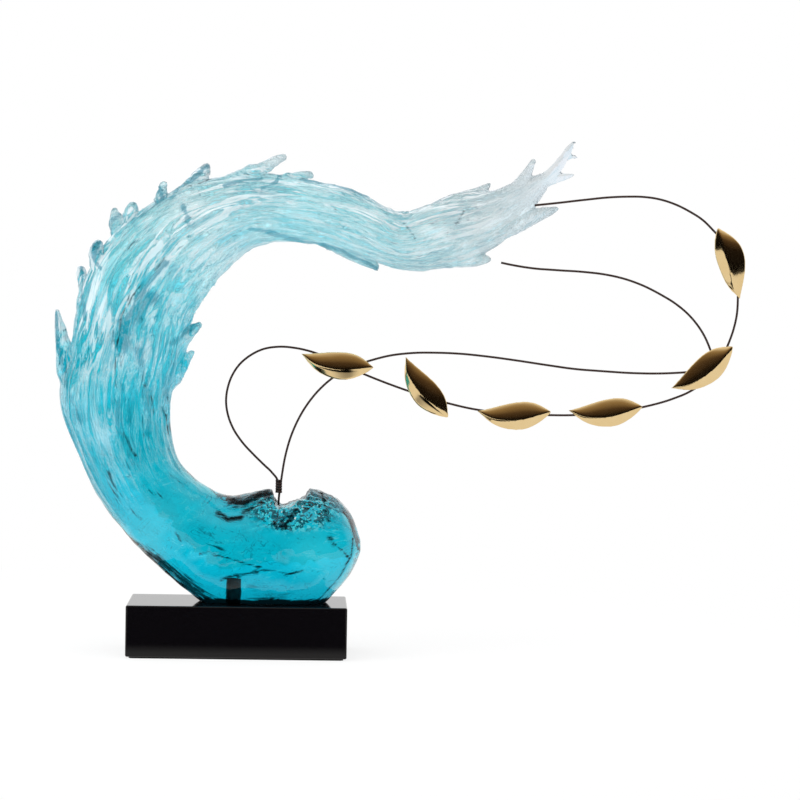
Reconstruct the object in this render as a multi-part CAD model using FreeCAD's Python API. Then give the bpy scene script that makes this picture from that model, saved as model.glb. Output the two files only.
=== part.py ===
import FreeCAD, Part
import math
import os

# A wave of hot-worked glass on a polished block, with a spray of gilt leaves on wires.
# Millimetres. X runs along the block, -Y faces the viewer and Z is up.
# The origin is the centre of the underside, where the pad meets the table.

# Base block and the pad under it
plinth_length = 200.0
plinth_width = 100.0
plinth_height = 46.5
plinth_edge_radius = 1.6
pad_thickness = 1.5
pad_inset = 3.0
pad_corner_radius = 4.0

# Anchor: an insert set in the glass, and the bolt that holds it from below
anchor_offset = -3.0
anchor_diameter = 11.0
anchor_height = 25.0
anchor_groove_depth = 0.6
anchor_groove_width = 1.2
anchor_groove_pitch = 3.0
anchor_wall = 1.4
adhesive_thickness = 0.6
bolt_diameter = 8.0
bolt_length = 50.0
bolt_head_diameter = 13.0
bolt_head_height = 8.0
bolt_socket_width = 6.0
bolt_socket_depth = 4.0
bolt_chamfer = 0.8
washer_diameter = 20.0
washer_thickness = 1.6
lock_washer_diameter = 14.5
lock_washer_thickness = 2.0
lock_washer_gap = 1.0
counterbore_diameter = 24.0
counterbore_depth = 17.0
bolt_clearance = 0.5
thread_clearance = 0.05

# Soft bed between the glass and the block
gasket_thickness = 0.6
gasket_length = 96.0
gasket_width = 44.0
gasket_centre = 22.0

# The glass wave: its own box above the block, and the places along it
wave_left = -170.0
wave_length = 473.0
wave_height = 428.0
wave_depth = 94.0
finger_width = 20.0

# Inner edge, outer edge and depth of the wave's cross-sections, from the bulb to the tail:
# x and z of the inner edge, x and z of the outer edge, depth
wave_section_shares = (
    (0.596, 0.136, 0.596, 0.110, 0.20),
    (0.588, 0.169, 0.588, 0.084, 0.46),
    (0.571, 0.201, 0.571, 0.054, 0.68),
    (0.545, 0.227, 0.548, 0.021, 0.84),
    (0.512, 0.245, 0.513, -0.022, 0.94),
    (0.473, 0.249, 0.478, -0.032, 0.99),
    (0.434, 0.244, 0.440, -0.034, 1.00),
    (0.403, 0.241, 0.398, -0.034, 1.00),
    (0.374, 0.230, 0.358, -0.033, 0.99),
    (0.339, 0.223, 0.319, -0.028, 0.97),
    (0.308, 0.236, 0.277, 0.006, 0.94),
    (0.281, 0.256, 0.212, 0.068, 0.90),
    (0.257, 0.277, 0.168, 0.106, 0.87),
    (0.237, 0.303, 0.116, 0.171, 0.84),
    (0.225, 0.338, 0.079, 0.232, 0.81),
    (0.218, 0.383, 0.050, 0.309, 0.79),
    (0.220, 0.425, 0.019, 0.384, 0.77),
    (0.227, 0.469, 0.007, 0.448, 0.74),
    (0.240, 0.533, 0.032, 0.529, 0.71),
    (0.253, 0.594, 0.048, 0.628, 0.68),
    (0.268, 0.632, 0.060, 0.694, 0.66),
    (0.297, 0.677, 0.092, 0.760, 0.63),
    (0.333, 0.725, 0.150, 0.823, 0.60),
    (0.362, 0.753, 0.221, 0.872, 0.57),
    (0.392, 0.772, 0.300, 0.901, 0.55),
    (0.437, 0.781, 0.392, 0.918, 0.53),
    (0.504, 0.774, 0.483, 0.900, 0.50),
    (0.567, 0.753, 0.576, 0.883, 0.47),
    (0.613, 0.737, 0.622, 0.850, 0.44),
    (0.660, 0.721, 0.662, 0.832, 0.40),
    (0.705, 0.718, 0.697, 0.842, 0.36),
    (0.747, 0.722, 0.732, 0.863, 0.33),
    (0.788, 0.738, 0.776, 0.877, 0.29),
    (0.836, 0.758, 0.828, 0.883, 0.25),
    (0.879, 0.794, 0.872, 0.902, 0.21),
    (0.915, 0.843, 0.914, 0.917, 0.17),
    (0.945, 0.893, 0.946, 0.933, 0.13),
)

# Splash fingers pulled from the glass: a name, how far each leans in depth, and its stations:
# x and z of the middle, and width. The depth of each is drawn from its width.
splash_finger_shares = {
    "outer_1": (-0.10, ((0.052, 0.425, 0.70), (0.023, 0.466, 0.80), (0.014, 0.529, 0.65),
                        (0.008, 0.576, 0.46), (0.004, 0.616, 0.28))),
    "outer_2": (0.12, ((0.068, 0.560, 0.80), (0.062, 0.603, 0.72), (0.056, 0.645, 0.60),
                       (0.050, 0.679, 0.48), (0.045, 0.704, 0.34))),
    "outer_3": (-0.14, ((0.110, 0.665, 1.00), (0.096, 0.693, 0.95), (0.083, 0.722, 0.76),
                        (0.078, 0.744, 0.56), (0.080, 0.758, 0.34))),
    "outer_4": (0.10, ((0.142, 0.715, 1.00), (0.127, 0.749, 0.95), (0.118, 0.787, 0.62),
                       (0.113, 0.814, 0.48), (0.110, 0.830, 0.32))),
    "outer_5": (-0.04, ((0.165, 0.740, 1.00), (0.153, 0.771, 0.95), (0.143, 0.805, 0.58),
                        (0.142, 0.824, 0.46), (0.145, 0.838, 0.32))),
    "outer_6": (-0.10, ((0.196, 0.800, 0.75), (0.199, 0.827, 0.60), (0.201, 0.857, 0.40),
                        (0.203, 0.876, 0.30), (0.206, 0.889, 0.20))),
    "outer_7": (0.08, ((0.215, 0.812, 1.30), (0.236, 0.845, 1.20), (0.259, 0.877, 0.88),
                       (0.277, 0.908, 0.58), (0.286, 0.931, 0.32))),
    "outer_8": (-0.12, ((0.283, 0.856, 0.95), (0.317, 0.882, 0.82), (0.355, 0.908, 0.66),
                        (0.394, 0.929, 0.52), (0.433, 0.951, 0.36))),
    "outer_9": (0.10, ((0.370, 0.868, 0.66), (0.406, 0.889, 0.60), (0.437, 0.903, 0.50),
                       (0.464, 0.912, 0.44), (0.485, 0.917, 0.34))),
    "inner_1": (-0.12, ((0.212, 0.508, 0.90), (0.233, 0.537, 0.76), (0.248, 0.559, 0.64),
                        (0.263, 0.578, 0.50), (0.276, 0.589, 0.34))),
    "inner_2": (0.06, ((0.214, 0.470, 1.00), (0.229, 0.490, 0.92), (0.241, 0.507, 0.72),
                       (0.252, 0.520, 0.50), (0.263, 0.531, 0.24))),
    "under_1": (-0.06, ((0.455, 0.805, 0.40), (0.504, 0.785, 0.52), (0.547, 0.764, 0.60),
                        (0.586, 0.743, 0.60), (0.614, 0.724, 0.34))),
    "tail_1": (0.05, ((0.725, 0.838, 0.80), (0.763, 0.858, 0.76), (0.794, 0.875, 0.60),
                      (0.817, 0.888, 0.48), (0.833, 0.901, 0.30))),
    "tail_2": (-0.03, ((0.875, 0.872, 0.70), (0.890, 0.896, 0.60), (0.904, 0.920, 0.44),
                       (0.912, 0.939, 0.34), (0.919, 0.954, 0.22))),
    "tail_3": (0.00, ((0.920, 0.895, 0.66), (0.948, 0.919, 0.58), (0.968, 0.943, 0.46),
                      (0.982, 0.970, 0.36), (0.997, 0.995, 0.20))),
    "tail_4": (0.03, ((0.922, 0.908, 0.60), (0.945, 0.912, 0.54), (0.964, 0.917, 0.44),
                      (0.982, 0.922, 0.34), (0.996, 0.926, 0.22))),
    "tail_5": (-0.02, ((0.840, 0.795, 0.90), (0.872, 0.812, 0.84), (0.905, 0.827, 0.70),
                       (0.938, 0.842, 0.54), (0.963, 0.852, 0.34))),
    "tail_6": (0.04, ((0.690, 0.752, 0.70), (0.725, 0.743, 0.76), (0.762, 0.739, 0.68),
                      (0.800, 0.741, 0.58), (0.830, 0.742, 0.46))),
    "barb": (0.00, ((0.970, 0.958, 0.30), (0.981, 0.962, 0.24), (0.992, 0.965, 0.18),
                    (1.000, 0.965, 0.13), (1.004, 0.964, 0.09))),
}
finger_depth_share = 1.15
finger_tip_share = 0.45
finger_ring_points = 10
wave_ring_points = 14
skin_degree = 3
straight_share = 0.000001

# The notch in the top of the bulb that the stem comes out of: x and z places, left to right
notch_shares = (
    (0.421, 0.300), (0.422, 0.262), (0.4235, 0.240), (0.4265, 0.224), (0.4325, 0.208),
    (0.4400, 0.2045), (0.452, 0.209), (0.474, 0.220), (0.489, 0.230), (0.4945, 0.245),
    (0.4950, 0.300),
)
notch_floor_share = min(z_share for x_share, z_share in notch_shares)

# Stem socket in the notch
stem_place_share = 0.4355
sleeve_diameter = 4.0
sleeve_depth = 25.0
stem_depth = 24.0
stem_stand_off = 1.5
stem_running_clearance = 0.05

# Wires
wire_diameter = 2.0
wire_gap = 0.2
spray_turn = 5.5
spray_reach = 420.0
spray_rise = 290.0

# Where the wires run in the plane of the spray, from just above the stem's seat: along, up
stem_route_shares = (
    (0.0000, 0.0000), (0.0055, 0.0828), (0.0138, 0.1586), (0.0240, 0.2140),
    (0.0383, 0.2655), (0.0593, 0.3195), (0.0826, 0.3630), (0.1120, 0.4030),
    (0.1560, 0.4410), (0.2045, 0.4665), (0.2370, 0.4790), (0.2840, 0.4885),
    (0.3430, 0.4912), (0.3900, 0.4895), (0.4540, 0.4818), (0.5170, 0.4710),
    (0.5790, 0.4590), (0.6415, 0.4480), (0.7040, 0.4425), (0.7660, 0.4385),
    (0.8280, 0.4390), (0.8835, 0.4445), (0.9262, 0.4524),
)
long_tendril_route_shares = (
    (-0.0033, 0.0410), (-0.0033, 0.0770), (-0.0170, 0.1035), (-0.0350, 0.1275),
    (-0.0565, 0.1570), (-0.0825, 0.1965), (-0.1025, 0.2385), (-0.1150, 0.2835),
    (-0.1193, 0.3280), (-0.1160, 0.3685), (-0.1065, 0.4080), (-0.0910, 0.4425),
    (-0.0675, 0.4720), (-0.0405, 0.4920), (-0.0055, 0.5010), (0.0340, 0.4975),
    (0.0675, 0.4870), (0.1255, 0.4540), (0.1875, 0.4165), (0.2445, 0.3860),
    (0.3060, 0.3570), (0.3640, 0.3335), (0.4270, 0.3145), (0.5070, 0.3040),
    (0.5890, 0.3010), (0.6370, 0.3022), (0.7150, 0.3128), (0.7920, 0.3325),
    (0.8540, 0.3595), (0.8905, 0.3830), (0.9235, 0.4180), (0.9505, 0.4690),
    (0.9717, 0.5345), (0.9826, 0.5820), (0.9890, 0.6300), (0.9903, 0.6720),
    (0.9872, 0.7360), (0.9735, 0.8045), (0.9545, 0.8570), (0.9307, 0.8950),
    (0.9117, 0.9210), (0.8826, 0.9475), (0.8490, 0.9705), (0.8115, 0.9860),
    (0.7790, 0.9912), (0.7500, 0.9912), (0.7085, 0.9880), (0.6550, 0.9790),
    (0.5935, 0.9675), (0.5476, 0.9597),
)
upper_tendril_route_shares = (
    (0.9417, 0.4760), (0.9335, 0.5145), (0.9160, 0.5680), (0.8870, 0.6215),
    (0.8575, 0.6570), (0.8240, 0.6860), (0.7825, 0.7150), (0.7410, 0.7350),
    (0.6990, 0.7470), (0.6575, 0.7530), (0.5960, 0.7575), (0.5460, 0.7620),
    (0.5125, 0.7685), (0.4774, 0.7780),
)

# Sleeve that binds the foot of the long tendril to the stem
ferrule_wall = 0.9
ferrule_length = 12.0
ferrule_groove_depth = 0.3
ferrule_groove_width = 0.8
ferrule_rib_count = 4
ferrule_overhang = 0.8

# Leaves, all one size
leaf_length = 68.5
leaf_ridge_height = 5.6
leaf_edge_thickness = 1.2
leaf_film = 0.15

# Leaf cross-sections from the narrow tip to the blunt one:
# place along, wide-facet edge, ridge, narrow-facet edge, height of the ridge
leaf_section_shares = (
    (0.000, 0.004, -0.004, -0.008, 0.02),
    (0.030, 0.008, -0.014, -0.026, 0.14),
    (0.100, 0.022, -0.055, -0.088, 0.42),
    (0.200, 0.046, -0.103, -0.165, 0.70),
    (0.350, 0.086, -0.128, -0.230, 0.92),
    (0.500, 0.118, -0.132, -0.254, 1.00),
    (0.650, 0.131, -0.113, -0.243, 0.97),
    (0.780, 0.113, -0.078, -0.190, 0.82),
    (0.890, 0.066, -0.042, -0.118, 0.56),
    (0.960, 0.026, -0.018, -0.058, 0.26),
    (1.000, 0.004, -0.006, -0.016, 0.04),
)
facet_swell_share = 0.16

# Each leaf: narrow tip along and up, heading in degrees, hand, sideways bow,
# where its solder pad lies along and up, size of the pad, and whether the front wires cross it
leaf_place_shares = (
    (0.0438, 0.4814, -9.5, 1, 0.00, 0.1493, 0.4386, 1.0, True),
    (0.2729, 0.4786, -53.8, 1, 0.00, 0.3195, 0.3514, 0.9, False),
    (0.4295, 0.3103, 0.7, 1, 0.00, 0.5060, 0.3040, 0.9, False),
    (0.6279, 0.3176, 4.4, 1, 0.00, 0.7140, 0.3126, 0.9, False),
    (0.8486, 0.3921, 35.7, 1, 0.00, 0.9345, 0.4600, 1.6, True),
    (0.9950, 0.6745, 108.0, -1, 0.105, 0.9725, 0.8070, 0.9, False),
)
pad_radius = 4.6
pad_crown = 1.0
pad_edge_radius = 0.8

# Names for sizes that follow from the ones above
plinth_bottom = pad_thickness
plinth_top = plinth_bottom + plinth_height
foot_height = plinth_top + gasket_thickness
stem_x = wave_left + stem_place_share * wave_length
stem_seat_height = plinth_top + notch_floor_share * wave_height
spray_base_height = stem_seat_height + stem_stand_off
wire_radius = wire_diameter / 2
sleeve_bore = wire_diameter + 2 * stem_running_clearance
rear_plane = wire_diameter + wire_gap
cut_past = 5.0


def vector(x, y, z):
    return FreeCAD.Vector(x, y, z)


def cylinder(radius, height, x, y, z):
    return Part.makeCylinder(radius, height, vector(x, y, z), vector(0, 0, 1))


def ring_swell(count):
    """How far the points of a ring stand out, so that the smooth skin reaches the true size."""
    return 3 / (2 + math.cos(2 * math.pi / count))


def skin(rings):
    """A smooth closed solid that follows rings of points, with a flat end at each end ring."""
    along = len(rings)
    round_count = len(rings[0])
    surface = Part.BSplineSurface()
    surface.buildFromPolesMultsKnots(
        rings,
        [skin_degree + 1] + [1] * (along - skin_degree - 1) + [skin_degree + 1],
        [1] * (round_count + 1),
        list(range(along - skin_degree + 1)),
        list(range(round_count + 1)),
        False, True, skin_degree, skin_degree)
    faces = [surface.toShape()]
    for end in (0, along - skin_degree):
        faces.append(Part.Face(Part.Wire([surface.uIso(end).toShape()])))
    shell = Part.makeShell(faces)
    shell.sewShape()
    solid = Part.makeSolid(shell)
    if solid.Volume < 0:
        solid.reverse()
    return solid


def wave_point(x_share, z_share, y):
    return vector(wave_left + x_share * wave_length, y, plinth_top + z_share * wave_height)


def wave_ring(section):
    """One cross-section of the wave: an oval from the inner edge to the outer one."""
    inner = wave_point(section[0], section[1], 0)
    outer = wave_point(section[2], section[3], 0)
    swell = ring_swell(wave_ring_points)
    middle = (inner + outer) / 2
    reach = (outer - inner) * (swell / 2)
    half_depth = section[4] * wave_depth * swell / 2
    points = []
    for step in range(wave_ring_points):
        turn = 2 * math.pi * step / wave_ring_points
        points.append(middle - reach * math.cos(turn) + vector(0, half_depth * math.sin(turn), 0))
    return points


def finger_ring(middle, along, width):
    """One cross-section of a splash finger, square to the way the finger runs."""
    side = vector(-along.z, 0, along.x)
    half_width = width * ring_swell(finger_ring_points) / 2
    points = []
    for step in range(finger_ring_points):
        turn = 2 * math.pi * step / finger_ring_points
        depth = half_width * finger_depth_share * math.sin(turn)
        points.append(middle + side * (half_width * math.cos(turn)) + vector(0, depth, 0))
    return points


def splash_finger(lean_share, stations):
    """A finger of glass, pulled from the body to a rounded tip."""
    middles = []
    for count, (x_share, z_share, width_share) in enumerate(stations):
        lean = lean_share * wave_depth * count / (len(stations) - 1)
        middles.append(wave_point(x_share, z_share, lean))
    rings = []
    for count, station in enumerate(stations):
        before = middles[max(count - 1, 0)]
        after = middles[min(count + 1, len(middles) - 1)]
        along = vector(after.x - before.x, 0, after.z - before.z).normalize()
        rings.append(finger_ring(middles[count], along, station[2] * finger_width))
    tip_width = stations[-1][2] * finger_width
    tip = middles[-1] + along * (tip_width / 2)
    rings.append(finger_ring(tip, along, tip_width * finger_tip_share))
    return skin(rings)


def notch_cutter():
    """What is taken out of the bulb's top, right across it."""
    points = [wave_point(x_share, z_share, -wave_depth) for x_share, z_share in notch_shares]
    curve = Part.BSplineCurve()
    curve.interpolate(points)
    mouth = Part.LineSegment(points[-1], points[0])
    face = Part.Face(Part.Wire([curve.toShape(), mouth.toShape()]))
    return face.extrude(vector(0, 2 * wave_depth, 0))


def wave_body():
    body = skin([wave_ring(section) for section in wave_section_shares])
    for lean_share, stations in splash_finger_shares.values():
        body = body.fuse(splash_finger(lean_share, stations))
    body = body.cut(notch_cutter())
    floor_length = wave_length * 2
    under = Part.makeBox(floor_length, floor_length, foot_height,
                         vector(-floor_length / 2, -floor_length / 2, 0))
    body = body.cut(under)
    body = body.cut(anchor_cavity())
    body = body.cut(cylinder(sleeve_diameter / 2, sleeve_depth + cut_past,
                             stem_x, 0, stem_seat_height - sleeve_depth))
    return body


def anchor_cavity():
    """The hole drilled up into the foot of the glass for the anchor."""
    radius = anchor_diameter / 2 + adhesive_thickness
    return cylinder(radius, anchor_height + adhesive_thickness, anchor_offset, 0, foot_height)


def anchor_insert():
    """A grooved bush with a blind threaded bore."""
    bush = cylinder(anchor_diameter / 2, anchor_height, anchor_offset, 0, foot_height)
    count = int((anchor_height - anchor_groove_pitch) / anchor_groove_pitch)
    for step in range(count):
        height = foot_height + anchor_groove_pitch * (step + 1) - anchor_groove_width / 2
        ring = cylinder(anchor_diameter, anchor_groove_width, anchor_offset, 0, height)
        core = cylinder(anchor_diameter / 2 - anchor_groove_depth, anchor_groove_width,
                        anchor_offset, 0, height)
        bush = bush.cut(ring.cut(core))
    bore = cylinder(bolt_diameter / 2 + thread_clearance, anchor_height - anchor_wall,
                    anchor_offset, 0, foot_height)
    return bush.cut(bore)


def anchor_adhesive():
    """Adhesive that fills the space between the bush and the glass."""
    return anchor_cavity().cut(cylinder(anchor_diameter / 2 + thread_clearance,
                                        anchor_height + thread_clearance,
                                        anchor_offset, 0, foot_height))


def bolt_seat_height():
    return plinth_bottom + counterbore_depth


def fixing_bolt():
    """A socket screw: its head sits up in the block's counterbore."""
    under_head = bolt_seat_height() - washer_thickness - lock_washer_thickness
    shank = cylinder(bolt_diameter / 2, bolt_length, anchor_offset, 0, under_head)
    shank = shank.makeChamfer(bolt_chamfer, [shank.Edges[0]])
    head = cylinder(bolt_head_diameter / 2, bolt_head_height,
                    anchor_offset, 0, under_head - bolt_head_height)
    corner = bolt_socket_width / math.sqrt(3)
    points = []
    for step in range(7):
        turn = math.pi * step / 3
        points.append(vector(anchor_offset + corner * math.cos(turn), corner * math.sin(turn),
                             under_head - bolt_head_height))
    socket = Part.Face(Part.makePolygon(points)).extrude(vector(0, 0, bolt_socket_depth))
    return shank.fuse(head).removeSplitter().cut(socket)


def fixing_washer():
    height = bolt_seat_height() - washer_thickness
    disc = cylinder(washer_diameter / 2, washer_thickness, anchor_offset, 0, height)
    return disc.cut(cylinder(bolt_diameter / 2 + bolt_clearance, washer_thickness,
                             anchor_offset, 0, height))


def lock_washer():
    """A split ring under the bolt's head."""
    height = bolt_seat_height() - washer_thickness - lock_washer_thickness
    disc = cylinder(lock_washer_diameter / 2, lock_washer_thickness, anchor_offset, 0, height)
    disc = disc.cut(cylinder(bolt_diameter / 2 + bolt_clearance, lock_washer_thickness,
                             anchor_offset, 0, height))
    split = Part.makeBox(lock_washer_diameter, lock_washer_gap, lock_washer_thickness,
                         vector(anchor_offset, -lock_washer_gap / 2, height))
    return disc.cut(split)


def plinth():
    block = Part.makeBox(plinth_length, plinth_width, plinth_height,
                         vector(-plinth_length / 2, -plinth_width / 2, plinth_bottom))
    block = block.makeFillet(plinth_edge_radius, block.Edges)
    counterbore = cylinder(counterbore_diameter / 2, counterbore_depth,
                           anchor_offset, 0, plinth_bottom)
    hole = cylinder(bolt_diameter / 2 + bolt_clearance, plinth_height,
                    anchor_offset, 0, plinth_bottom)
    return block.cut(counterbore).cut(hole)


def base_pad():
    length = plinth_length - 2 * pad_inset
    width = plinth_width - 2 * pad_inset
    sheet = Part.makeBox(length, width, pad_thickness, vector(-length / 2, -width / 2, 0))
    corners = [edge for edge in sheet.Edges if abs(edge.tangentAt(0).z) == 1]
    return sheet.makeFillet(pad_corner_radius, corners)


def foot_gasket():
    """An oval of clear sheet that the glass stands on."""
    oval = Part.Ellipse(vector(gasket_centre, 0, plinth_top), gasket_length / 2, gasket_width / 2)
    sheet = Part.Face(Part.Wire([oval.toShape()])).extrude(vector(0, 0, gasket_thickness))
    return sheet.cut(cylinder(bolt_diameter / 2 + bolt_clearance, gasket_thickness,
                              anchor_offset, 0, plinth_top))


def stem_sleeve():
    """A thin tube bonded in the drilled hole, that the stem drops into."""
    bottom = stem_seat_height - sleeve_depth
    tube = cylinder(sleeve_diameter / 2, sleeve_depth, stem_x, 0, bottom)
    return tube.cut(cylinder(sleeve_bore / 2, stem_depth, stem_x, 0,
                             stem_seat_height - stem_depth))


def spray_point(along_share, up_share, back):
    """A place in the spray's own plane, before the spray is turned about its stem."""
    return vector(stem_x + along_share * spray_reach, back,
                  spray_base_height + up_share * spray_rise)


def turn_spray(shape):
    """Turns a piece of the spray about the stem's axis, so that its far end comes forward."""
    turned = shape.copy()
    turned.rotate(vector(stem_x, 0, 0), vector(0, 0, 1), -spray_turn)
    return turned


def circle_tangent(before, here, after):
    """The way a circle through three points runs at the middle one."""
    first = here - before
    second = after - here
    return (first * (second.Length / first.Length)
            + second * (first.Length / second.Length)).normalize()


def route_tangents(points, start):
    tangents = [start]
    for count in range(1, len(points) - 1):
        tangents.append(circle_tangent(points[count - 1], points[count], points[count + 1]))
    last = (points[-1] - points[-2]).normalize()
    tangents.append((last * (2 * last.dot(tangents[-1])) - tangents[-1]).normalize())
    return tangents


def stretch(ring, end):
    """The skin of a round wire along the arc that leaves the ring squarely and reaches the end,
    the ring at its far end and its length. The arc lies in an upright plane along X."""
    start = ring.Curve.Center
    tangent = ring.Curve.Axis
    chord = end - start
    axis = vector(0, 1, 0)
    if axis.cross(tangent).dot(chord) < 0:
        axis = -axis
    side = axis.cross(tangent)
    if chord.dot(side) < chord.Length * straight_share:
        return ring.extrude(chord), ring.translated(chord), chord.Length
    turn = 2 * math.atan2(chord.dot(side), chord.dot(tangent))
    radius = chord.Length / (2 * math.sin(turn / 2))
    centre = start + side * radius
    degrees = math.degrees(turn)
    return ring.revolve(centre, axis, degrees), ring.rotated(centre, axis, degrees), radius * turn


def biarc_joint(start, start_tangent, end, end_tangent):
    """Where two arcs that keep both tangents meet."""
    span = start - end
    both = start_tangent + end_tangent
    a = both.dot(both) - 4
    b = 2 * span.dot(both)
    c = span.dot(span)
    reach = (-b - math.sqrt(b * b - 4 * a * c)) / (2 * a)
    return (start + end + (start_tangent - end_tangent) * reach) / 2


def bent_wire(route_shares, back, start, lead):
    """A round wire along a route of arcs. The lead is a straight length before its first point."""
    points = [spray_point(along, up, back) for along, up in route_shares]
    tangents = route_tangents(points, start)
    stops = [points[0]] if lead > 0 else []
    for count in range(len(points) - 1):
        joint = biarc_joint(points[count], tangents[count], points[count + 1], tangents[count + 1])
        stops += [joint, points[count + 1]]
    ring = Part.Circle(points[0] - start * lead, start, wire_radius).toShape()
    faces = [Part.Face(Part.Wire([ring]))]
    wire_length = 0
    for stop in stops:
        side, ring, length = stretch(ring, stop)
        faces += side.Faces
        wire_length += length
    faces.append(Part.Face(Part.Wire([ring])))
    shell = Part.makeShell(faces)
    shell.sewShape()
    wire = Part.makeSolid(shell)
    if wire.Volume < 0:
        wire.reverse()
    print("wire", round(wire_length, 1), "mm", round(wire.Volume / wire_length, 3), "mm2")
    return wire


def stem_wire():
    return bent_wire(stem_route_shares, 0, vector(0, 0, 1), stem_depth + stem_stand_off)


def long_tendril():
    return bent_wire(long_tendril_route_shares, rear_plane, vector(0, 0, 1), 0)


def upper_tendril():
    first = spray_point(*upper_tendril_route_shares[0], 0)
    second = spray_point(*upper_tendril_route_shares[1], 0)
    return bent_wire(upper_tendril_route_shares, 0, (second - first).normalize(), 0)


def tie_ferrule():
    """A ribbed oval sleeve squeezed round the stem and the foot of the long tendril."""
    foot = spray_point(*long_tendril_route_shares[0], rear_plane)
    bottom = foot.z - ferrule_overhang
    rise = (bottom + ferrule_length / 2 - spray_base_height) / (stem_route_shares[1][1] * spray_rise)
    lean = stem_route_shares[1][0] * spray_reach * rise ** 2
    first = vector(foot.x, foot.y, bottom)
    second = vector(stem_x + lean, 0, bottom)
    sleeve = oval(first, second, wire_radius + ferrule_wall, ferrule_length)
    for step in range(ferrule_rib_count):
        height = vector(0, 0, ferrule_length * (step + 1) / (ferrule_rib_count + 1))
        height.z -= ferrule_groove_width / 2
        outer = oval(first + height, second + height, ferrule_length, ferrule_groove_width)
        inner = oval(first + height, second + height,
                     wire_radius + ferrule_wall - ferrule_groove_depth, ferrule_groove_width)
        sleeve = sleeve.cut(outer.cut(inner))
    return sleeve


def oval(first, second, radius, height):
    """An upright block, round at both ends, about two centres."""
    way = (second - first).normalize()
    across = vector(-way.y, way.x, 0)
    edges = [Part.LineSegment(first - across * radius, second - across * radius).toShape(),
             Part.Arc(second - across * radius, second + way * radius,
                      second + across * radius).toShape(),
             Part.LineSegment(second + across * radius, first + across * radius).toShape(),
             Part.Arc(first + across * radius, first - way * radius,
                      first - across * radius).toShape()]
    return Part.Face(Part.Wire(edges)).extrude(vector(0, 0, height))


def leaf_ring(section, hand, bow):
    """One cross-section of a leaf: flat back, thin edges, a swelling facet and a flatter one."""
    place, wide_edge, ridge, narrow_edge, rise = section
    sway = bow * math.sin(math.pi * place)
    x = place * leaf_length
    top = hand * (wide_edge + sway) * leaf_length
    crest = hand * (ridge + sway) * leaf_length
    low = hand * (narrow_edge + sway) * leaf_length
    rim = leaf_edge_thickness * (rise + 1) / 2
    height = rim + rise * leaf_ridge_height
    swell = facet_swell_share * rise * leaf_ridge_height
    corners = [vector(x, 0, top), vector(x, -rim, top), vector(x, -height, crest),
               vector(x, -rim, low), vector(x, 0, low)]
    crown = (corners[1] + corners[2]) / 2 + vector(0, -swell, 0)
    edges = [Part.LineSegment(corners[0], corners[1]).toShape(),
             Part.Arc(corners[1], crown, corners[2]).toShape(),
             Part.LineSegment(corners[2], corners[3]).toShape(),
             Part.LineSegment(corners[3], corners[4]).toShape(),
             Part.LineSegment(corners[4], corners[0]).toShape()]
    return Part.Wire(edges)


def leaf(along_share, up_share, heading, hand, bow, front):
    """A solid cast leaf, its flat back lying on the wire."""
    rings = [leaf_ring(section, hand, bow) for section in leaf_section_shares]
    shape = Part.makeLoft(rings, True, False)
    shape.rotate(vector(0, 0, 0), vector(0, 1, 0), -heading)
    back = -wire_radius - leaf_film
    if not front:
        back += rear_plane
    shape.translate(spray_point(along_share, up_share, back))
    return shape


def leaf_solder(along_share, up_share, size, front, neighbours):
    """A pad of solder round the wires, against the leaf's back."""
    start = -wire_radius - leaf_film
    if not front:
        start += rear_plane
    end = rear_plane + wire_radius + pad_crown
    place = spray_point(along_share, up_share, start)
    bead = Part.makeCylinder(pad_radius * size, end - start, place, vector(0, 1, 0))
    rear_edge = [edge for edge in bead.Edges if edge.CenterOfMass.y > end - pad_crown / 2]
    bead = bead.makeFillet(pad_edge_radius, rear_edge)
    for other in neighbours:
        bead = bead.cut(other)
    return bead


def write(name, shape):
    if not shape.isValid():
        print("NOT VALID", name)
    if len(shape.Solids) != 1:
        print("SOLIDS", name, len(shape.Solids))
    print(name, round(shape.Volume / 1000, 3), "cm3", len(shape.Faces), "faces")
    shape.exportStep("parts/" + name + ".step")


def main():
    os.makedirs("parts", exist_ok=True)
    write("wave_glass", wave_body())
    write("plinth", plinth())
    write("base_pad", base_pad())
    write("foot_gasket", foot_gasket())
    write("anchor_insert", anchor_insert())
    write("anchor_adhesive", anchor_adhesive())
    write("fixing_bolt", fixing_bolt())
    write("fixing_washer", fixing_washer())
    write("lock_washer", lock_washer())
    write("stem_sleeve", stem_sleeve())

    stem = stem_wire()
    tendril = long_tendril()
    upper = upper_tendril()
    wires = [stem, tendril, upper]
    ferrule = tie_ferrule().cut(stem).cut(tendril)
    write("stem_wire", turn_spray(stem))
    write("long_tendril", turn_spray(tendril))
    write("upper_tendril", turn_spray(upper))
    write("tie_ferrule", turn_spray(ferrule))
    for count, row in enumerate(leaf_place_shares, 1):
        along, up, heading, hand, bow, pad_along, pad_up, size, front = row
        blade = leaf(along, up, heading, hand, bow, front)
        write("leaf_" + str(count), turn_spray(blade))
        solder = leaf_solder(pad_along, pad_up, size, front, wires)
        write("leaf_solder_" + str(count), turn_spray(solder))


main()
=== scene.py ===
import math

import bpy
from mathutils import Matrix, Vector, kdtree, noise


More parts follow.
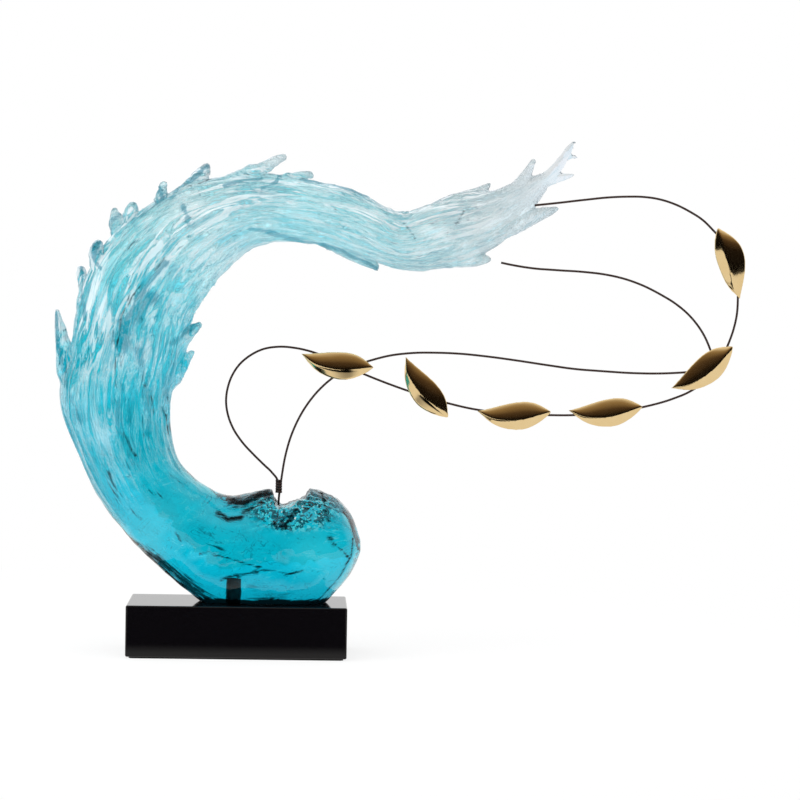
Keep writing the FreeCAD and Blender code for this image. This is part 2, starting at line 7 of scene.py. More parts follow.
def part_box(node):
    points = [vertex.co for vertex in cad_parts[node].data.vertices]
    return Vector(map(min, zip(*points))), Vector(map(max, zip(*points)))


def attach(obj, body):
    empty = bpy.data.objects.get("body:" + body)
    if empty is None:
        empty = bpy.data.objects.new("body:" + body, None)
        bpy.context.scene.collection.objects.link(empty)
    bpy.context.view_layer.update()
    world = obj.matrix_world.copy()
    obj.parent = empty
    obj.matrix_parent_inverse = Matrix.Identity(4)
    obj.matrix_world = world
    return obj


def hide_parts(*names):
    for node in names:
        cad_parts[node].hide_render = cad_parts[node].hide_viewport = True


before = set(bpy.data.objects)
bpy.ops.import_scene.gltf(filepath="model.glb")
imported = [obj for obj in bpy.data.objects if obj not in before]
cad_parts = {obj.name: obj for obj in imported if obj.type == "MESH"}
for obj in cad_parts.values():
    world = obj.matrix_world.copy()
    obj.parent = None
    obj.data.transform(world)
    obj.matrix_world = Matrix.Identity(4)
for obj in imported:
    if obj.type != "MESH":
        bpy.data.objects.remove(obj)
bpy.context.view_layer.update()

mm = 0.001


def smooth(value, low, high):
    share = min(max((value - low) / (high - low), 0.0), 1.0)
    return share * share * (3 - 2 * share)


def hexColour(text):
    channels = [int(text[i:i + 2], 16) / 255 for i in (0, 2, 4)]
    linear = [c / 12.92 if c <= 0.04045 else ((c + 0.055) / 1.055) ** 2.4 for c in channels]
    return (*linear, 1.0)


def addNode(tree, kind, inputs=None, stops=None, **settings):
    node = tree.nodes.new(kind)
    for name, value in settings.items():
        setattr(node, name, value)
    for name, value in (inputs or {}).items():
        if isinstance(value, bpy.types.NodeSocket):
            tree.links.new(value, node.inputs[name])
        else:
            node.inputs[name].default_value = value
    if stops:  # a colour ramp: place and colour of each stop
        elements = node.color_ramp.elements
        while len(elements) < len(stops):
            elements.new(1.0)
        for element, (place, colour) in zip(elements, stops):
            element.position = place
            element.color = hexColour(colour)
    return node


def ranged(tree, value, source, target=(0.0, 1.0), **settings):
    # what lies between the two source values is spread between the two target values
    node = addNode(tree, "ShaderNodeMapRange", {
        "Value": value, "From Min": source[0], "From Max": source[1],
        "To Min": target[0], "To Max": target[1]}, **settings)
    return node.outputs[0]


def computed(tree, operation, *values):
    return addNode(tree, "ShaderNodeMath", dict(enumerate(values)), operation=operation).outputs[0]


def squeezed(tree, vector, factors):
    return addNode(tree, "ShaderNodeVectorMath", {0: vector, 1: factors}, operation="MULTIPLY").outputs[0]


def noiseOf(tree, vector, settings):
    return addNode(tree, "ShaderNodeTexNoise", {"Vector": vector, **settings}).outputs["Fac"]


def painted(tree, share, under, over):
    # the colour over covers what is under as far as the share says
    inputs = {"Factor": share, "A": under, "B": hexColour(over)}
    return addNode(tree, "ShaderNodeMix", inputs, data_type="RGBA").outputs["Result"]


def mixed(tree, share, first, second):
    return addNode(tree, "ShaderNodeMixShader", {0: share, 1: first, 2: second}).outputs[0]


def newMaterial(name):
    material = bpy.data.materials.new(name)
    material.use_nodes = True
    tree = material.node_tree
    tree.nodes.clear()
    return material, tree


def closeTree(tree, shader, kind="ShaderNodeOutputMaterial"):
    addNode(tree, kind, {"Surface": shader})


# Camera, fitted to the corners of the block
cameraSettings = {
    "target": (146.1, 0.0, 235.2),  # mm
    "distance": 2600.0,  # mm
    "azimuth": 2.0,  # degrees, the camera stands a little to the left
    "lookDown": 2.25,
    "roll": 0.96,
    "lens": 127.3,  # mm
    "sensor": 36.0,  # mm
    "frameSide": 800,  # pixels
    "farClip": 50.0,  # metres
}


def cameraAxes():
    c = cameraSettings
    turn, down, roll = (math.radians(c[name]) for name in ("azimuth", "lookDown", "roll"))
    forward = Vector((math.sin(turn) * math.cos(down), math.cos(turn) * math.cos(down), -math.sin(down)))
    right = Vector((math.cos(turn), -math.sin(turn), 0))
    up = right.cross(forward)
    rolledRight = math.cos(roll) * right + math.sin(roll) * up
    rolledUp = math.cos(roll) * up - math.sin(roll) * right
    return Vector(c["target"]) - c["distance"] * forward, forward, rolledRight, rolledUp


def focalLength():
    # in pixels of the frame
    return cameraSettings["lens"] / cameraSettings["sensor"] * cameraSettings["frameSide"]


def seenAt(pixel):
    # the place in the middle plane of the glass, in mm, that a pixel of the frame looks at
    place, forward, right, up = cameraAxes()
    aside, below = (count - cameraSettings["frameSide"] / 2 for count in pixel)
    ray = forward + aside / focalLength() * right - below / focalLength() * up
    hit = place - ray * (place.y / ray.y)
    return Vector((hit.x, hit.z))


def makeCamera():
    place, forward, rolledRight, rolledUp = cameraAxes()
    bpy.ops.object.camera_add(location=place * mm)
    camera = bpy.context.object
    camera.name = "photoCamera"
    turned = camera.matrix_world.copy()
    for row in range(3):
        turned[row][0], turned[row][1], turned[row][2] = rolledRight[row], rolledUp[row], -forward[row]
    camera.matrix_world = turned
    camera.data.lens = cameraSettings["lens"]
    camera.data.sensor_width = cameraSettings["sensor"]
    camera.data.clip_end = cameraSettings["farClip"]
    bpy.context.scene.camera = camera


# Surroundings, each tone by its height: 0 at eye level, 1 overhead
studio = {
    "white": "FFFFFF",
    "ambient": 0.75,
    "darkRoom": ((0.0, "0A0807"), (0.3, "1C140D"), (0.5, "4E3D2B"), (0.7, "96805F"), (0.9, "EDE5D8")),
    "roomEdge": (-0.25, 0.05),  # from the room, on the camera's side, to the white beyond
    "whiteWalls": ((0.0, "FFFFFF"), (0.26, "FFFFFF"), (0.5, "FFFFFF"), (0.66, "D2E4EA"), (0.82, "FFFFFF")),
}


def makeWorld():
    world = bpy.data.worlds.new("studioWorld")
    bpy.context.scene.world = world
    world.use_nodes = True
    tree = world.node_tree
    tree.nodes.clear()
    white = hexColour(studio["white"])
    place = addNode(tree, "ShaderNodeTexCoord")
    parts = addNode(tree, "ShaderNodeSeparateXYZ", {"Vector": place.outputs["Generated"]})
    # what gloss mirrors: white beyond, and towards the camera a dark room under a soft box
    side = ranged(tree, parts.outputs["Y"], studio["roomEdge"])
    room = addNode(tree, "ShaderNodeValToRGB", {"Fac": parts.outputs["Z"]}, stops=studio["darkRoom"])
    mirrored = painted(tree, side, room.outputs["Color"], studio["white"])
    # what the glass shows: white walls with a faintly blue band half way up and half way down
    level = computed(tree, "ABSOLUTE", parts.outputs["Z"])
    walls = addNode(tree, "ShaderNodeValToRGB", {"Fac": level}, stops=studio["whiteWalls"])
    backdrop = addNode(tree, "ShaderNodeBackground", {"Color": white})
    ambient = addNode(tree, "ShaderNodeBackground", {"Color": white, "Strength": studio["ambient"]})
    gloss = addNode(tree, "ShaderNodeBackground", {"Color": mirrored})
    through = addNode(tree, "ShaderNodeBackground", {"Color": walls.outputs["Color"]})
    rays = addNode(tree, "ShaderNodeLightPath").outputs
    light = mixed(tree, rays["Is Glossy Ray"], ambient.outputs[0], gloss.outputs[0])
    light = mixed(tree, rays["Is Transmission Ray"], light, through.outputs[0])
    light = mixed(tree, rays["Is Camera Ray"], light, backdrop.outputs[0])
    closeTree(tree, light, "ShaderNodeOutputWorld")


def makeFloor():
    # soft white paper that keeps a faint shadow, with a black card in front of the block
    settings = {
        "size": 9.0,  # metres
        "paper": "F4F4F4",
        "lit": ((0.15, 0.8), (0.8, 1.0)),  # metres from the middle, and the share that shows no shadow
        "sheen": "F2EFEA",
        "card": "080808",
        "cardFront": (-0.09, -0.15),  # metres, where it sets in towards the camera
        "cardSide": (0.19, 0.13),  # metres, where it sets in from either side
    }
    bpy.ops.mesh.primitive_plane_add(size=settings["size"], location=(0, 0, 0))
    floor = bpy.context.object
    floor.name = "paperSweep"
    material, tree = newMaterial("Matte paper")
    paper = addNode(tree, "ShaderNodeBsdfDiffuse", {"Color": hexColour(settings["paper"])})
    glow = addNode(tree, "ShaderNodeEmission", {"Color": hexColour(studio["white"])})
    place = addNode(tree, "ShaderNodeTexCoord").outputs["Object"]
    parts = addNode(tree, "ShaderNodeSeparateXYZ", {"Vector": place})
    reach = addNode(tree, "ShaderNodeVectorMath", {0: place}, operation="LENGTH")
    lit = ranged(tree, reach.outputs["Value"], *settings["lit"])
    # only the block's polish mirrors the card
    ahead = ranged(tree, parts.outputs["Y"], settings["cardFront"])
    within = ranged(tree, computed(tree, "ABSOLUTE", parts.outputs["X"]), settings["cardSide"])
    card = computed(tree, "MULTIPLY", ahead, within)
    sheen = painted(tree, card, hexColour(settings["sheen"]), settings["card"])
    mirrored = addNode(tree, "ShaderNodeEmission", {"Color": sheen})
    rays = addNode(tree, "ShaderNodeLightPath").outputs
    straight = computed(tree, "MAXIMUM", rays["Is Camera Ray"], rays["Is Transmission Ray"])
    surface = mixed(tree, computed(tree, "MULTIPLY", straight, lit), paper.outputs[0], glow.outputs[0])
    closeTree(tree, mixed(tree, rays["Is Glossy Ray"], surface, mirrored.outputs[0]))
    floor.data.materials.append(material)


def makeLamps():
    # soft boxes in metres and watts, aimed at the middle of the object
    lamps = {
        "topSoftBox": {"size": 1.3, "place": (-0.15, -0.25, 1.75), "power": 17.0},
        "sideSoftBox": {"size": 0.8, "place": (-1.5, -0.9, 0.9), "power": 9.0},
    }
    middle = Vector((0.1, 0.0, 0.25))
    for name, settings in lamps.items():
        place = Vector(settings["place"])
        bpy.ops.object.light_add(type="AREA", location=place)
        lamp = bpy.context.object
        lamp.name = name
        lamp.data.shape = "DISK"
        lamp.data.size = settings["size"]
        lamp.data.energy = settings["power"]
        lamp.visible_transmission = False
        lamp.visible_glossy = False
        lamp.rotation_euler = (middle - place).to_track_quat("-Z", "Y").to_euler()


def copyNode(node, name, body):
    # a finished piece begins as a welded copy of the node that it stands for
    weldReach = 0.00001  # metres
    piece = bpy.data.objects.new(name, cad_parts[node].data.copy())
    bpy.context.scene.collection.objects.link(piece)
    bpy.ops.object.select_all(action="DESELECT")
    piece.select_set(True)
    bpy.context.view_layer.objects.active = piece
    bpy.ops.object.mode_set(mode="EDIT")
    bpy.ops.mesh.select_all(action="SELECT")
    bpy.ops.mesh.remove_doubles(threshold=weldReach)
    bpy.ops.object.mode_set(mode="OBJECT")
    piece.data.materials.clear()
    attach(piece, body)
    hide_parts(node)
    return piece


def reskin(piece, voxel):
    # an even skin of small faces in place of the node's long ones
    remesh = piece.modifiers.new("fineSkin", "REMESH")
    remesh.mode = "VOXEL"
    remesh.voxel_size = voxel * mm
    bpy.ops.object.modifier_apply(modifier=remesh.name)


# The glass: where it flows and how its skin is formed, in mm. Along is 0 in the bulb and 1 at the tail's
# end, across is 1 at the glass's edge.
glassSettings = {
    "voxel": 1.75,
    # middle of the wave from the bulb to the tail: x, z, half width, half depth
    "flowLine": ((118, 103, 10, 12), (100, 102, 31, 32), (72, 97, 57, 44), (37, 93, 60, 47),
                 (3, 91, 56, 47), (-32, 101, 50, 44), (-69, 130, 42, 41), (-98, 170, 41, 38),
                 (-112, 220, 48, 36), (-108, 272, 49, 33), (-95, 325, 50, 31), (-58, 377, 48, 28),
                 (-6, 405, 36, 26), (45, 409, 29, 24), (100, 398, 28, 22), (143, 380, 25, 19),
                 (180, 387, 30, 16), (224, 399, 27, 12), (263, 425, 16, 8), (290, 452, 8, 5)),
    "flowSteps": 16,  # samples between two of these
    "slimDepth": 24.0,  # half depth under which the ripples get lower
    "acrossScale": 40.0,  # the half width that the ripples are drawn on
    "ripples": ((12.0, 60.0, 2.4), (5.0, 30.0, 1.3)),  # width, length, height
    "rippleFolds": 2.4,  # how steeply a ripple falls off from its crest
    "drawnFrom": (0.2, 0.44),  # along
    "calmFingers": ((1.05, 1.4), 0.75),  # across, and how much the ripples are lowered there
    "lumps": ((30.0, 1.6), (11.0, 0.5)),  # slow waves in the bulb: length and height
    "footClear": (2.0, 14.0),  # over the foot, from smooth glass to full relief
    "crater": {"place": (50.0, 134.0), "reach": (58.0, 27.0), "core": 0.35, "height": 3.2, "sunk": 0.35,
               "cell": 10.0, "fineCell": (2.3, 0.6)},  # the fine one's frequency and share
    # the dark marks fade out from 2 to 14 mm behind the middle, so they lie on the front; they are partly
    # inclusions and partly painted shade
    "darkMarkDepth": (2.0, 14.0),  # y, where the inclusions under the front skin end
    "fingers": {"across": (1.0, 1.3), "along": (0.48, 0.6), "slim": (0.5, 0.85)},
    # dark marks as strokes, partly inclusions and folds in the glass and partly painted shade: the black
    # stone seen through and mirrored in the glass under the bulb and along the foot. Width, strength, then
    # the places they pass. Widths and places are in pixels of the frame. A weak stroke shows as flecks.
    "inclusionAndShadeStrokes": (
        (5.0, 0.66, (118, 340), (122, 355)), (5.0, 0.62, (142, 372), (146, 385)),
        (3.0, 0.72, (163, 405), (168, 428), (176, 445)), (2.4, 0.85, (171, 430), (183, 452), (191, 464)),
        (5.0, 0.66, (131, 300), (138, 292)), (4.0, 0.66, (152, 395), (156, 412)),
        (16.0, 0.95, (182, 582), (196, 591), (210, 599)), (13.0, 0.9, (186, 574), (199, 584), (212, 594)),
        (4.5, 0.9, (223, 574), (235, 571), (248, 568), (258, 567)),
        (12.0, 0.95, (232, 500), (246, 500), (258, 495), (268, 491)),
        (8.0, 0.85, (243, 510), (257, 504), (270, 498)),
        (7.0, 0.95, (219, 510), (229, 516), (242, 514)), (8.0, 0.62, (262, 494), (270, 503), (278, 508)),
        (8.0, 0.68, (112, 470), (118, 488), (122, 500)),
        (15.0, 0.66, (203, 527), (212, 534), (222, 545)), (6.0, 0.66, (202, 549), (210, 547), (216, 550)),
        (1.6, 0.9, (214, 550), (232, 554), (250, 559), (263, 562)),
        (2.0, 0.86, (222, 573), (238, 573), (249, 568), (258, 564), (275, 566), (290, 569), (303, 566)),
        (7.0, 0.86, (322, 492), (325, 505), (328, 518)), (9.0, 0.84, (329, 533), (334, 541)),
        (2.4, 0.9, (334, 540), (344, 549), (349, 556)), (16.0, 0.65, (250, 582), (262, 592), (285, 592)),
        (2.0, 0.85, (353, 536), (351, 552), (338, 575), (318, 597)),
        (8.0, 0.92, (284, 524), (292, 512), (297, 507)),
        (12.0, 1.0, (150, 552), (171, 566), (189, 580), (205, 593), (216, 600)),
        (6.0, 0.88, (205, 601), (235, 603), (300, 604), (326, 599)),
        (5.0, 0.72, (255, 590), (275, 597), (290, 601)),
        (8.0, 0.72, (130, 538), (142, 542), (155, 547)), (5.0, 0.62, (113, 481), (119, 499)),
        (5.0, 0.6, (121, 476), (134, 473)), (5.0, 0.7, (150, 487), (164, 494)),
        (5.0, 0.68, (178, 528), (183, 538)), (5.0, 0.6, (193, 476), (199, 488)),
        (5.0, 0.6, (168, 470), (184, 482)), (5.0, 0.6, (130, 505), (144, 516)),
        (4.5, 0.66, (167, 257), (158, 268), (150, 282), (138, 291), (131, 303), (123, 316)),
        (3.6, 0.68, (123, 318), (119, 350), (118, 385)), (4.0, 0.8, (127, 431), (132, 444), (138, 453)),
        (4.0, 0.66, (186, 186), (193, 189)), (4.0, 0.66, (200, 187), (212, 180)),
        (4.0, 0.62, (403, 224), (411, 233), (415, 240)),
        (6.0, 0.56, (250, 190), (275, 196)), (5.0, 0.6, (455, 225), (463, 212)),
        (6.0, 0.6, (64, 330), (66, 352))),
    # deep teal strokes, given the same way: partly teal streaks in the glass, partly painted dark edges
    # along the splash fingers
    "tealStrokes": (
        (14.0, 0.75, (140, 350), (148, 390), (150, 430)), (10.0, 0.7, (125, 385), (132, 430), (140, 465)),
        (3.0, 1.0, (95, 245), (97, 262), (104, 270)), (4.0, 0.8, (110, 215), (112, 235), (106, 250)),
        (3.0, 1.0, (160, 186), (163, 200), (150, 212), (133, 224)),
        (3.0, 1.0, (207, 166), (196, 178), (180, 190), (172, 200)),
        (3.0, 0.9, (225, 188), (245, 182), (262, 180)), (3.0, 0.9, (281, 175), (276, 184), (262, 190)),
        (3.0, 0.9, (300, 182), (330, 186), (360, 196), (385, 208), (400, 213)),
        (3.0, 0.9, (57, 312), (58, 335), (62, 360)), (3.0, 0.9, (80, 268), (84, 290), (88, 320)),
        (17.0, 1.0, (152, 297), (138, 311), (128, 324), (125, 345)),
        (6.0, 1.0, (168, 262), (150, 283), (138, 300)),
        (3.0, 1.0, (250, 229), (270, 232), (300, 239), (340, 250), (376, 268)),
        (4.0, 0.9, (405, 212), (421, 206), (438, 200)), (16.0, 0.7, (118, 400), (124, 430), (136, 462)),
        (12.0, 0.7, (175, 352), (170, 372), (165, 395)), (8.0, 0.7, (90, 262), (112, 222), (130, 205)),
        (24.0, 0.66, (262, 506), (300, 512), (342, 520)), (9.0, 0.7, (62, 350), (70, 385), (84, 420)),
        (5.0, 0.9, (184, 207), (188, 216), (190, 225)), (6.0, 0.9, (172, 343), (186, 332), (198, 325)),
        (10.0, 0.6, (240, 185), (262, 195), (290, 200))),
}


def flowSamples():
    # the flow line as a smooth curve: place, half width, half depth and length so far
    rows = glassSettings["flowLine"]
    steps = glassSettings["flowSteps"]
    samples, run = [], 0.0
    for count in range(len(rows) - 1):
        quad = [rows[min(max(count + step, 0), len(rows) - 1)] for step in (-1, 0, 1, 2)]
        for step in range(steps):
            t = step / steps
            weights = (-0.5 * t + t * t - 0.5 * t ** 3, 1 - 2.5 * t * t + 1.5 * t ** 3,
                       0.5 * t + 2 * t * t - 1.5 * t ** 3, -0.5 * t * t + 0.5 * t ** 3)
            row = [sum(w * q[i] for w, q in zip(weights, quad)) for i in range(4)]
            if samples:
                run += math.hypot(row[0] - samples[-1][0], row[1] - samples[-1][1])
            samples.append((*row, run))
    return samples


def flowPlace(point, samples, tree):
    # along, across and deep, in mm: the ripples are drawn in these. Then 1 where thick, less where slim.
    x, y, z = point / mm
    _, index, _ = tree.find((x, 0, z))
    near = samples[index]
    before, after = samples[max(index - 1, 0)], samples[min(index + 1, len(samples) - 1)]
    way = Vector((after[0] - before[0], after[1] - before[1])).normalized()
    offset = Vector((x - near[0], z - near[1]))
    across = way.x * offset.y - way.y * offset.x  # left of the flow is outside, right is inside
    scale = glassSettings["acrossScale"]
    place = Vector((near[4] + way.dot(offset), across / near[2] * scale, y / near[3] * scale))
    return place, min(near[3] / glassSettings["slimDepth"], 1.0)


def strokeRuns(strokes):
    # each stroke as straight runs with the box that it can reach
    runs = []
    scale = cameraSettings["distance"] / focalLength()  # mm to a pixel
    for width, strength, *pixels in strokes:
        points = [seenAt(pixel) for pixel in pixels]
        reach = width * scale + 1
        for first, last in zip(points, points[1:]):
            low = (min(first.x, last.x) - reach, min(first.y, last.y) - reach)
            high = (max(first.x, last.x) + reach, max(first.y, last.y) + reach)
            runs.append((first, last - first, reach, strength, low, high))
    return runs


def strokeShare(x, z, runs):
    # the strength of the stroke in its middle, about half of it at its edge, nought at its reach
    best = 0.0
    for first, way, reach, strength, low, high in runs:
        if low[0] < x < high[0] and low[1] < z < high[1]:
            share = ((x - first.x) * way.x + (z - first.y) * way.y) / way.length_squared
            share = min(max(share, 0.0), 1.0)
            gap = math.hypot(x - first.x - share * way.x, z - first.y - share * way.y)
            best = max(best, strength * (1 - gap / reach))
    return best


def skinHeight(point, place, rough, streaked):
    # how far the skin stands out, in mm: ripples in the wave, lumps in the bulb, chips in the crater
    g = glassSettings
    crater = g["crater"]
    height = 0.0
    for width, length, rise in g["ripples"]:
        wave = noise.noise(Vector((place.x / length, place.y / width, place.z / width)))
        height += rise * (1 - g["rippleFolds"] * abs(wave)) * streaked
    if rough > 0:
        finer, fineShare = crater["fineCell"]
        spot = point / mm / crater["cell"]
        cell = noise.noise(spot) + fineShare * noise.noise(spot * finer)
        height += crater["height"] * (abs(cell) - crater["sunk"]) * rough
    for length, rise in g["lumps"]:
        height += rise * noise.noise(point / mm / length) * (1 - streaked)
    return height


def makeWaveGlass():
    g = glassSettings
    glass = copyNode("wave_glass", "waveGlass", "stand")
    reskin(glass, g["voxel"])
    print("glass skin", len(glass.data.polygons), "faces")

    samples = flowSamples()
    tree = kdtree.KDTree(len(samples))
    for index, row in enumerate(samples):
        tree.insert((row[0], 0, row[1]), index)
    tree.balance()
    total = samples[-1][4]
    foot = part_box("wave_glass")[0].z
    for name, kind in (("flow", "FLOAT_VECTOR"), ("marks", "FLOAT_VECTOR"), ("tips", "FLOAT")):
        glass.data.attributes.new(name, kind, "POINT")
    flow, marks, tips = (glass.data.attributes[name] for name in ("flow", "marks", "tips"))
    inclusionAndShadeRuns, tealRuns = strokeRuns(g["inclusionAndShadeStrokes"]), strokeRuns(g["tealStrokes"])
    crater, fingers = g["crater"], g["fingers"]
    edge, calmed = g["calmFingers"]
    moved = []
    for vertex in glass.data.vertices:
        point = vertex.co.copy()
        place, slim = flowPlace(point, samples, tree)
        along = place.x / total
        body = math.hypot(place.y, place.z) / g["acrossScale"]
        streaked = slim * smooth(along, *g["drawnFrom"]) * (1 - calmed * smooth(body, *edge))
        offset = [(here / mm - middle) / reach for here, middle, reach in
                  zip((point.x, point.z), crater["place"], crater["reach"])]
        rough = 1 - smooth(math.hypot(*offset), crater["core"], 1.0)
        calm = smooth(point.z / mm, *(foot / mm + rise for rise in g["footClear"]))
        height = skinHeight(point, place, rough, streaked)
        moved.append(point + vertex.normal * (height * calm * mm))
        flow.data[vertex.index].vector = place * mm
        near = 1 - smooth(point.y / mm, *g["darkMarkDepth"])
        # marks: X the near black strokes, partly inclusions and partly painted shade, Y the teal strokes, Z
        # the crater's roughness
        marks.data[vertex.index].vector = (strokeShare(point.x / mm, point.z / mm, inclusionAndShadeRuns) * near,
                                           strokeShare(point.x / mm, point.z / mm, tealRuns), rough)
        finger = smooth(place.y / g["acrossScale"], *fingers["across"]) * smooth(along, *fingers["along"])
        tips.data[vertex.index].value = finger * smooth(slim, *fingers["slim"])
    for vertex, point in zip(glass.data.vertices, moved):
        vertex.co = point
    glass.data.update()
    bpy.ops.object.shade_smooth()
    glass.data.materials.append(glassMaterial(total * mm, foot))


# The colour of the glass, layer by layer. A pair of pairs spreads the first onto the second. A fade begins
# with along, 0 in the bulb and 1 at the tail's end. Places are in metres, and a noise's scale is per metre.
glassLook = {
    "body": ((0.0, "04BEDC"), (0.28, "0AC3DF"), (0.42, "12CAE1"), (0.50, "70DFEC"), (0.58, "C8EFF4"),
             (0.68, "9FE8F2"), (0.80, "B4ECF4"), (0.9, "DAEEF3"), (1.0, "E4EAF1")),
    "streaked": (0.24, 0.46),  # along, where the streaks set in
    "plainEnd": ((0.9, 0.99), (1.0, 0.0)),
    # broad and saturated, 20 mm across and 50 mm long
    "patches": {
        "squeeze": (0.4, 1.0, 1.0),
        "noise": {"Scale": 48.0, "Detail": 3.0, "Roughness": 0.55, "Distortion": 0.9},
        "level": ((0.50, 0.60), (0.0, 0.8)), "fade": ((0.44, 0.70), (1.0, 0.25)), "colour": "10B4CE"},
    # threads 4 mm wide and 27 mm long: deeper glass, and pale threads that are partly clearer glass and
    # partly a painted highlight
    "threads": {
        "squeeze": (0.15, 1.0, 1.0),
        "noise": {"Scale": 150.0, "Detail": 5.0, "Roughness": 0.65, "Distortion": 1.3},
        "windows": {"Scale": 62.0, "Detail": 2.0, "Distortion": 0.7},
        "windowLevel": ((0.44, 0.56), (0.3, 1.0)),
        "outward": ((-0.03, 0.03), (0.45, 1.0)), "white": (0.45, 0.52), "highlightWhite": "F3FBFF",
        "deep": (0.42, 0.34), "deepFade": ((0.42, 0.62), (0.8, 0.5)), "deepColour": "22A6BE"},
    # level of the threads' noise, width, strength, colour: the white lines are painted glints, the dark teal
    # ones veins in the glass
    "glintsAndVeins": ((0.545, 0.018, 1.0, "FCFEFF"), (0.452, 0.014, 0.95, "086A80")),
    # nearly clear tips, with a painted dark teal outline where they turn away from the view
    "fingers": {
        "strength": 0.75, "colour": "EEF5F8", "edge": ((0.62, 0.85), (0.0, 0.85)), "paintedOutlineColour": "1C889E"},
    # painted highlight: a pale rim where the surface turns away from the view, weaker in the streaked wave
    "rim": {"facing": ((0.46, 0.66), (0.0, 0.9)), "fade": ((0.0, 1.0), (1.0, 0.45)), "colour": "E6EEF8"},
    # painted caustics in the bulb, thin arcs 40 mm long, pale lines of light and dark lines of shade: level,
    # width, strength, colour
    "causticLines": {
        "squeeze": (0.55, 1.0, 1.25),
        "noise": {"Scale": 42.0, "Detail": 4.0, "Roughness": 0.6, "Distortion": 1.2},
        "fade": ((0.24, 0.40), (1.0, 0.0)),
        "lines": ((0.40, 0.010, 0.85, "045063"), (0.60, 0.008, 0.8, "C8F2F8"), (0.47, 0.03, 0.3, "058FA9"))},
    "flecks": {
        "noise": {"Scale": 330.0, "Detail": 5.0, "Roughness": 0.7, "Distortion": 0.8},
        "level": ((0.62, 0.66), (0.0, 0.8)), "colour": "0A7F96"},
    # which of the marks, X for the near black ones and Y for the teal ones, then level, strength, colour;
    # the near black ones are partly painted shade
    "strokes": (("Y", 1.24, 0.75, "0B8BA4"), ("X", 1.24, 0.86, "053B48"), ("X", 1.44, 1.0, "000507")),
    "strokeEdge": 0.18,
    "raggedness": 1.5,
    # painted light: two pools of paler cyan light in the bulb
    # middle, reach, strength, colour
    "gathers": (((0.068, 0.0, 0.088), 0.034, 0.6, "35D6EC"), ((-0.075, 0.0, 0.116), 0.034, 0.32, "5CD8EA")),
    "gatherCore": 0.004,
    # painted shade: deeper teal towards the foot, over the lowest 45 mm
    "under": {"height": 0.045, "strength": 0.75, "colour": "058CA6"},
    "footBand": {"height": 0.007, "level": (0.95, 1.2), "colour": "020C10"},
    # scale, from and to which tone, colour; the white chips are painted glints
    "chips": ((210.0, 0.66, 0.70, "031A22"), (560.0, 0.70, 0.76, "04222C"), (560.0, 0.24, 0.16, "E2F5FA")),
    "chipShare": ((0.2, 0.6), (0.0, 0.95)),
    # ridges 3 mm wide and 15 mm long, and a crease beside each white thread
    "ridges": {
        "squeeze": (0.20, 1.0, 1.0), "noise": {"Scale": 330.0, "Detail": 3.0, "Roughness": 0.6},
        "crease": ((0.42, 0.56), (0.0, 1.3)), "strength": 0.9, "depth": 0.0009},
    "milkyHighlight": ((0.0, 1.0), (1.0, 0.55)),  # share of white thread, and how much light goes through
    # painted glow: the streaked wave gives off a faint light in its own colour, rising where the streaks set
    # in and halved towards the tail's end
    "glow": ((0.24, 0.46), (0.0, 0.075)),
    "paintedGlowEnd": ((0.74, 0.9), (1.0, 0.5)),
    "roughness": 0.03,
    "ior": 1.43,
    # opaque black over the near black marks and the foot band: partly inclusions, partly painted shade and
    # the painted reflection of the black stone
    "opaqueBlack": {"colour": "01070A", "opacity": 0.85},
}


def glassFields(tree, total):
    # what the layers are laid by: places in the flow and in the piece, the marks and the common noises
    flow = addNode(tree, "ShaderNodeAttribute", attribute_name="flow").outputs["Vector"]
    marks = addNode(tree, "ShaderNodeAttribute", attribute_name="marks").outputs["Vector"]
    tips = addNode(tree, "ShaderNodeAttribute", attribute_name="tips").outputs["Fac"]
    place = addNode(tree, "ShaderNodeTexCoord").outputs["Object"]
    parts = addNode(tree, "ShaderNodeSeparateXYZ", {"Vector": flow}).outputs
    along = ranged(tree, parts["X"], (0.0, total))
    streaked = computed(tree, "MULTIPLY", ranged(tree, along, glassLook["streaked"]),
                        ranged(tree, along, *glassLook["plainEnd"]))
    # back and front are alike, so the threads run through
    depth = computed(tree, "ABSOLUTE", parts["Z"])
    folded = addNode(tree, "ShaderNodeCombineXYZ", {"X": parts["X"], "Y": parts["Y"], "Z": depth}).outputs[0]
    drawn = squeezed(tree, folded, glassLook["threads"]["squeeze"])
    ragged = noiseOf(tree, drawn, glassLook["flecks"]["noise"])
    return {
        "flow": flow, "across": parts["Y"], "along": along, "streaked": streaked, "tips": tips,
        "place": place,
        "marks": addNode(tree, "ShaderNodeSeparateXYZ", {"Vector": marks}).outputs,
        "spot": addNode(tree, "ShaderNodeSeparateXYZ", {"Vector": place}).outputs,
        "facing": addNode(tree, "ShaderNodeLayerWeight", {"Blend": 0.5}).outputs["Facing"],
        "drawn": drawn, "threads": noiseOf(tree, drawn, glassLook["threads"]["noise"]),
        "ragged": ragged, "raggedly": computed(tree, "MULTIPLY", ragged, glassLook["raggedness"]),
        "fading": ranged(tree, along, *glassLook["threads"]["deepFade"])}


def thinLines(tree, field, level, width, strength):
    # lines where a noise crosses a level
    gap = computed(tree, "ABSOLUTE", computed(tree, "SUBTRACT", field, level))
    return ranged(tree, gap, (0.0, width), (strength, 0.0))


